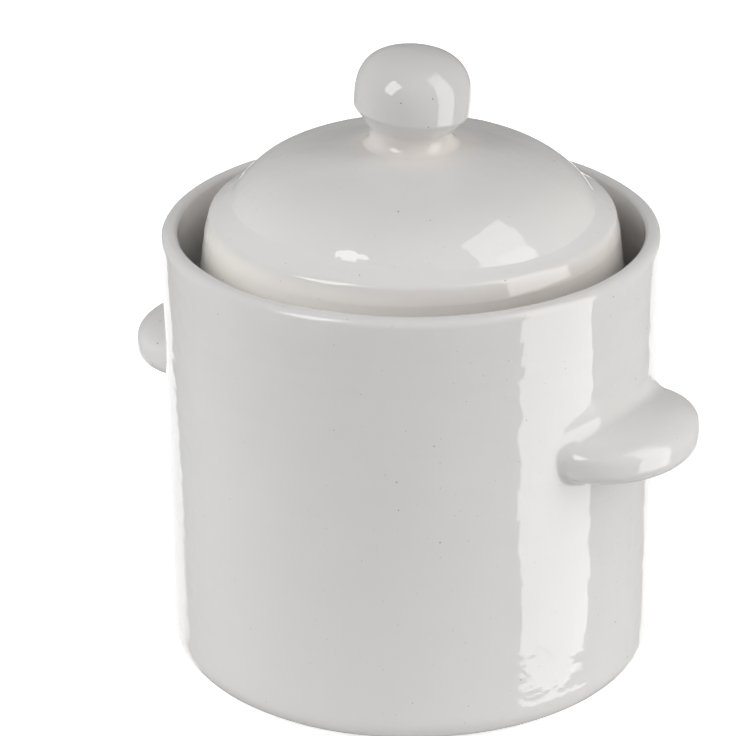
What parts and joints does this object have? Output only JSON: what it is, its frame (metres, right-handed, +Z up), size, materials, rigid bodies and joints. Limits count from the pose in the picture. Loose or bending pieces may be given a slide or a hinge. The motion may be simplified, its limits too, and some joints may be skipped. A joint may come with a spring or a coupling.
{
  "type": "water seal pickle jar",
  "caption": "Straight-sided glazed stoneware crock with lug handles, a domed knob lid standing in a water gutter, and half-moon press stones inside.",
  "frame": {"origin": "centre of the foot, on the surface that the crock stands on", "axes": "+Z up through the knob, +X through the right handle, -Y towards the front"},
  "size_m": [0.228, 0.18, 0.2317],
  "materials": {
    "crock_glaze": "glossy",
    "lid_glaze": "glossy",
    "stone_glaze": "glossy"
  },
  "bodies": {
    "crock": {"crock_body": "crock_glaze", "gutter_ring": "crock_glaze", "handle_left": "crock_glaze", "handle_right": "crock_glaze"},
    "lid": {"lid_dome": "lid_glaze", "lid_knob": "lid_glaze"},
    "front_stone": {"stone_front": "stone_glaze"},
    "rear_stone": {"stone_rear": "stone_glaze"}
  },
  "joints": [
    {"name": "lid_lift", "type": "slide", "parent": "crock", "child": "lid", "axis": [0, 0, 1], "range_m": [0, 0.1]},
    {"name": "front_stone_lift", "type": "slide", "parent": "crock", "child": "front_stone", "axis": [0, 0, 1], "range_m": [0, 0.1]},
    {"name": "rear_stone_lift", "type": "slide", "parent": "crock", "child": "rear_stone", "axis": [0, 0, 1], "range_m": [0, 0.1]}
  ]
}
